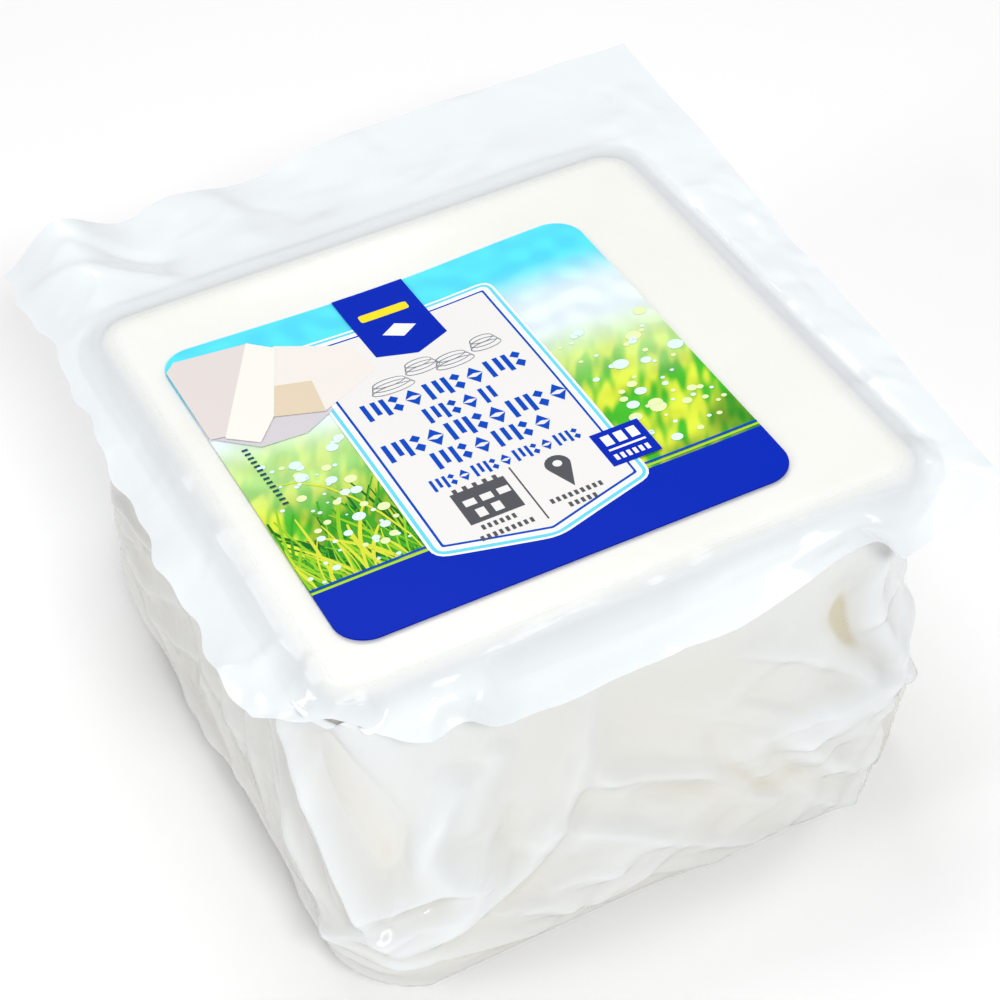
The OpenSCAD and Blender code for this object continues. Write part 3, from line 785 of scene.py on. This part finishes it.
# ------------------------------------------------------------------ the blades of grass and the drops
# The crisp part of the printed meadow: blades in four greens at the left, and pale
# round drops and spots of light at both sides.
blades = {"deep": [], "leaf": [], "lime": [], "straw": []}
for k in range(170):
    x0, grow = chance.uniform(-50, -27), chance.uniform(6, 22) * (0.55 if k > 80 else 1)
    lean = chance.uniform(-0.75, 0.25)
    f = np.linspace(0, 1, 8)
    px = x0 + lean * grow * f + chance.uniform(-0.35, 0.35) * grow * f ** 2
    py = band_top + 1.4 + grow * f * (1 - 0.25 * f * abs(lean))
    px, py = np.clip(px, label_left + 0.35, -27.5), np.minimum(py, -3)
    blades[chance.choice(["deep", "leaf", "lime", "straw"], p=[0.34, 0.32, 0.23, 0.11])].append(
        stroke(np.c_[px, py], chance.uniform(0.22, 0.8)))
arching = [(-44, -3.5), (-40, -4.5), (-36, -8), (-33, -13), (-30.5, -19), (-28.5, -26), (-28, -30)]
blades["straw"].append(stroke(arching, 0.45))
for k, (name, tone) in enumerate((("deep", ink(26, 108, 34)), ("leaf", ink(66, 164, 36)),
                                  ("lime", ink(146, 204, 42)), ("straw", ink(214, 222, 64)))):
    printed("blades_" + name, blades[name], tone, 1 + 0.25 * k)
dew, glow = [], []
for k in range(46):
    x0, y0 = chance.uniform(-47.5, -28.5), chance.uniform(-29.5, 3)
    dew.append(disc(x0, y0, chance.uniform(0.25, 0.5) if k % 3 else chance.uniform(0.7, 1.35), 0.85))
for k in range(54):
    x0, y0 = chance.uniform(16, 35), chance.uniform(-28, 7)
    size = chance.uniform(0.35, 0.7) if k % 3 else chance.uniform(0.8, 1.6)
    (dew if k % 2 else glow).append(disc(x0, y0, size, 0.85))
for _ in range(14):
    glow.append(disc(chance.uniform(-47, -28.5), chance.uniform(-28, 2), chance.uniform(0.5, 1.2), 0.85))
printed("dew", dew, ink(222, 243, 248), 2.2)
printed("glow", glow, ink(230, 242, 182), 2.1)

# ------------------------------------------------------------------ the pale panel
# A pale field with a pointed foot, framed by white, light blue and dark blue lines.
# Each is printed as a whole shape, a little smaller than the one below it.
panel = [(-27.4, 30.4), (-27.6, -33.6), (-7.1, -39.3), (13.9, -33.5), (14.4, 30.3)]
borders = [(0, white_ink), (0.5, pale_cyan), (1.15, white_ink), (2.2, line_blue), (2.65, panel_ink)]
for k, (d, tone) in enumerate(borders):
    border = rounded(inset_outline(panel, d), max(2.6 - d, 0.4))
    printed("panel_%d" % k, [border], tone, 3.4 + 0.8 * k, cell=label_cell)

# ------------------------------------------------------------------ the drawing of cut cheese
# Two cubes of cheese with their soft shadow, printed over the label's upper left part
# in flat tones.
cheese_shadow = [(-48.7, 13.7), (-41.5, 7.0), (-33, 6.5), (-27.0, 9.9), (-24, 13), (-40, 16)]
printed("drawn_shadow", [cheese_shadow], ink(210, 206, 212), 4.2, cell=label_cell)
back_cube = [(-33.0, 31.0), (-28.3, 32.6), (-16, 26.0), (-14.6, 17.2), (-27.8, 10.4), (-33.5, 16)]
printed("drawn_back_cube", [back_cube], ink(238, 232, 226), 7.2, cell=label_cell)
back_cube_side = [(-33.5, 21.8), (-26.4, 19.8), (-27.7, 10.3), (-37.0, 13.6)]
printed("drawn_back_cube_side", [back_cube_side], ink(224, 208, 182), 7.6, cell=label_cell)
printed("drawn_cube_side", [[(-48.7, 34.4), (-46.5, 36.6), (-32.2, 35.6), (-43, 12), (-48.7, 13.2)]],
        ink(223, 215, 212), 8.0, cell=label_cell)
printed("drawn_cube_top", [[(-32.6, 35.8), (-28.4, 32.0), (-36.4, 13.5), (-41.2, 8.0), (-46.2, 12.2)]],
        ink(243, 239, 232), 8.4, cell=label_cell)

# ------------------------------------------------------------------ the tab
# A blue tab that hangs from the label's upper edge over the panel, with a plain yellow
# bar and a white lozenge on it.
tab = [(-13.8, 39.6), (-13.4, 20.3), (-6.1, 17.6), (1.1, 20.6), (0.6, 39.6)]
printed("tab", [tab], band_blue, 7.4, cell=label_cell)
printed("tab_bar", [rounded(oblong(-11.4, 31.0, -1.6, 33.2), 0.6)], ink(250, 224, 40), 8.4, cell=label_cell)
lozenge = [(-9.6, 25.8), (-6.2, 23.6), (-2.8, 25.8), (-6.2, 28.0)]
printed("tab_lozenge", [lozenge], white_ink, 8.4, cell=label_cell)

# ------------------------------------------------------------------ the rows of ornament
# Five rows of upright bars, diamonds and arrow shapes in dark blue ink, across the
# middle of the panel.
ornament = []
for x0, x1, y0, high in ((-22.8, 9.6, 5.9, 5.0), (-13.7, 1.0, -0.3, 4.4), (-24.2, 12.0, -6.2, 5.0),
                         (-17.8, 5.8, -12.1, 4.6), (-20.8, 8.3, -17.7, 3.1)):
    count = round((x1 - x0) / (high * 0.84))
    for k in range(count):
        cx, w = x0 + (k + 0.5) * (x1 - x0) / count, high * 0.28
        low, top, stem = y0 - high / 2, y0 + high / 2, high * 0.19
        kind = (k * 2 + round(y0)) % 3
        if kind == 0:
            ornament += [oblong(cx - w * 0.7 - stem / 2, low, cx - w * 0.7 + stem / 2, top),
                         oblong(cx + w * 0.7 - stem / 2, low + high * 0.2, cx + w * 0.7 + stem / 2, top)]
        elif kind == 1:
            left, right, thin = cx - w * 1.1, cx + w * 1.1, high * 0.12
            ornament += [[(left, y0), (cx, low), (right, y0), (cx, y0 - thin)],
                         [(left, y0 + 0.1), (cx, y0 + thin), (right, y0 + 0.1), (cx, top)]]
        else:
            left, mid, right = cx - w * 0.3, cx + w * 0.5, cx + w * 1.2
            up, down = y0 + high * 0.28, y0 - high * 0.22
            ornament += [oblong(cx - w - stem / 2, low, cx - w + stem / 2, top),
                         [(left, up), (mid, y0 + high * 0.06), (right, up), (mid, top)],
                         [(left, down), (mid, low), (right, down), (mid, y0)]]
printed("panel_ornament", ornament, line_blue, 7.4)

# ------------------------------------------------------------------ the small marks
# A calendar sign and a place sign with rows of dots under them, a small blue box of
# plain squares, a fine drawing of cheeses, and a row of dots at the label's left.
small = [oblong(-18.8, -29.6, -8.6, -21.2)]
small += [oblong(-18.0 + 1.9 * k, -21.3, -17.2 + 1.9 * k, -20.2) for k in range(5)]
small += [oblong(-6.9, -34.6, -6.6, -19.8)]
pin_head = [(0.9 + 2.3 * math.cos(a), -23.2 + 2.3 * math.sin(a))
            for a in np.linspace(-0.45, math.pi + 0.45, 13)]
small += [pin_head + [(0.9, -29.6)]]
for x0, x1, y0 in ((-17.5, -9.8, -31.0), (-18.8, -8.4, -33.4), (-4.6, 6.0, -31.2), (-2.2, 4.4, -33.4)):
    count = int((x1 - x0) / 1.15)
    small += [oblong(x0 + 1.15 * k, y0 - 0.6, x0 + 1.15 * k + 0.62, y0 + 0.6) for k in range(count)]
printed("panel_small_marks", small, grey_ink, 7.4)
light = [oblong(-17.6 + 3.2 * k, -25.2, -15.4 + 3.2 * k, -23.6) for k in range(3)]
light += [oblong(-16.6 + 3.0 * k, -28.6, -14.9 + 3.0 * k, -26.4) for k in range(2)] + [disc(0.9, -23.1, 0.85)]
printed("panel_small_lights", light, panel_ink, 7.9)
printed("small_box", [oblong(8.9, -28.8, 18.4, -19.6)], band_blue, 7.4, cell=label_cell)
box_marks = [oblong(10.3 + 2.5 * k, -23.6, 12.0 + 2.5 * k, -20.9) for k in range(3)]
box_marks += [oblong(10.1, -25.0, 17.3, -24.5)]
box_marks += [oblong(10.2 + 1.2 * k, -27.6, 10.9 + 1.2 * k, -26.1) for k in range(6)]
printed("small_box_marks", box_marks, white_ink, 7.9)
sketch = []
for cx, cy, w in ((-14.6, 11.6, 4.2), (-7.6, 14.2, 3.4), (-1.8, 12.6, 3.8), (5.2, 14.2, 3.0)):
    a = np.linspace(0, 2 * math.pi, 15)
    for k in range(3):
        ring_x, ring_y = cx + w * (1 - 0.12 * k) * np.cos(a), cy - 1.5 + 1.1 * k + 1.1 * np.sin(a)
        sketch.append(stroke(np.c_[ring_x, ring_y], 0.22))
    for side in (-w, w):
        sketch.append(stroke([(cx + side, cy - 1.5), (cx + 0.76 * side, cy + 0.7)], 0.22))
printed("panel_sketch", sketch, ink(120, 126, 140), 7.4)
side_row = [oblong(-45.0 + 0.06 * k, 7.4 - 1.25 * k, -43.9 + 0.06 * k, 7.95 - 1.25 * k) for k in range(14)]
printed("side_marks", side_row, ink(16, 78, 84), 3.4)

# ------------------------------------------------------------------ the floor, light and camera
# A plain pale floor, even white light all round, four soft lights, and a camera that
# looks down on the front left corner of the pack.
let_go()
bpy.ops.mesh.primitive_plane_add(size=6, location=(0, 0, 0))
floor = bpy.context.object
floor.name = "floor"
floor_paint, tree, shader = material("floor_paint", (0.97, 0.97, 0.97), 0.9)
floor.data.materials.append(floor_paint)
floor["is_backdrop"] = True

world = bpy.data.worlds.new("studio")
world.use_nodes = True
world.node_tree.nodes["Background"].inputs["Color"].default_value = (1, 1, 1, 1)
world.node_tree.nodes["Background"].inputs["Strength"].default_value = 0.34
bpy.context.scene.world = world
bpy.context.scene.view_settings.view_transform = "Standard"


def softbox(name, place, aim, size, power):
    lamp = bpy.data.lights.new(name, "AREA")
    lamp.shape, lamp.size, lamp.size_y, lamp.energy = "RECTANGLE", size[0], size[1], power
    lamp_object = bpy.data.objects.new(name, lamp)
    bpy.context.collection.objects.link(lamp_object)
    lamp_object.location = place
    lamp_object.rotation_mode = "QUATERNION"
    lamp_object.rotation_quaternion = (Vector(aim) - Vector(place)).to_track_quat("-Z", "Y")


softbox("top_box", (0.05, 0.37, 0.82), (0, 0, 0.05), (0.50, 0.50), 2.85)
softbox("front_box", (-0.11, -0.77, 0.75), (0, 0, 0.04), (0.24, 0.20), 5.2)
softbox("left_box", (-0.95, -0.10, 0.60), (0, 0, 0.04), (0.30, 0.40), 2.4)
softbox("right_box", (0.9, -0.05, 0.6), (0, 0, 0.04), (0.3, 0.4), 1.2)

lens = bpy.data.cameras.new("camera")
lens.lens, lens.sensor_width = 91.8, 36
lens.clip_start, lens.clip_end = 0.01, 20
camera = bpy.data.objects.new("camera", lens)
bpy.context.collection.objects.link(camera)
camera.matrix_world = Matrix((
    (0.8907, 0.3398, -0.3021, -0.1419),
    (-0.4516, 0.5844, -0.6742, -0.3168),
    (-0.0526, 0.7369, 0.6740, 0.3655),
    (0, 0, 0, 1)))
bpy.context.scene.camera = camera

low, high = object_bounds()
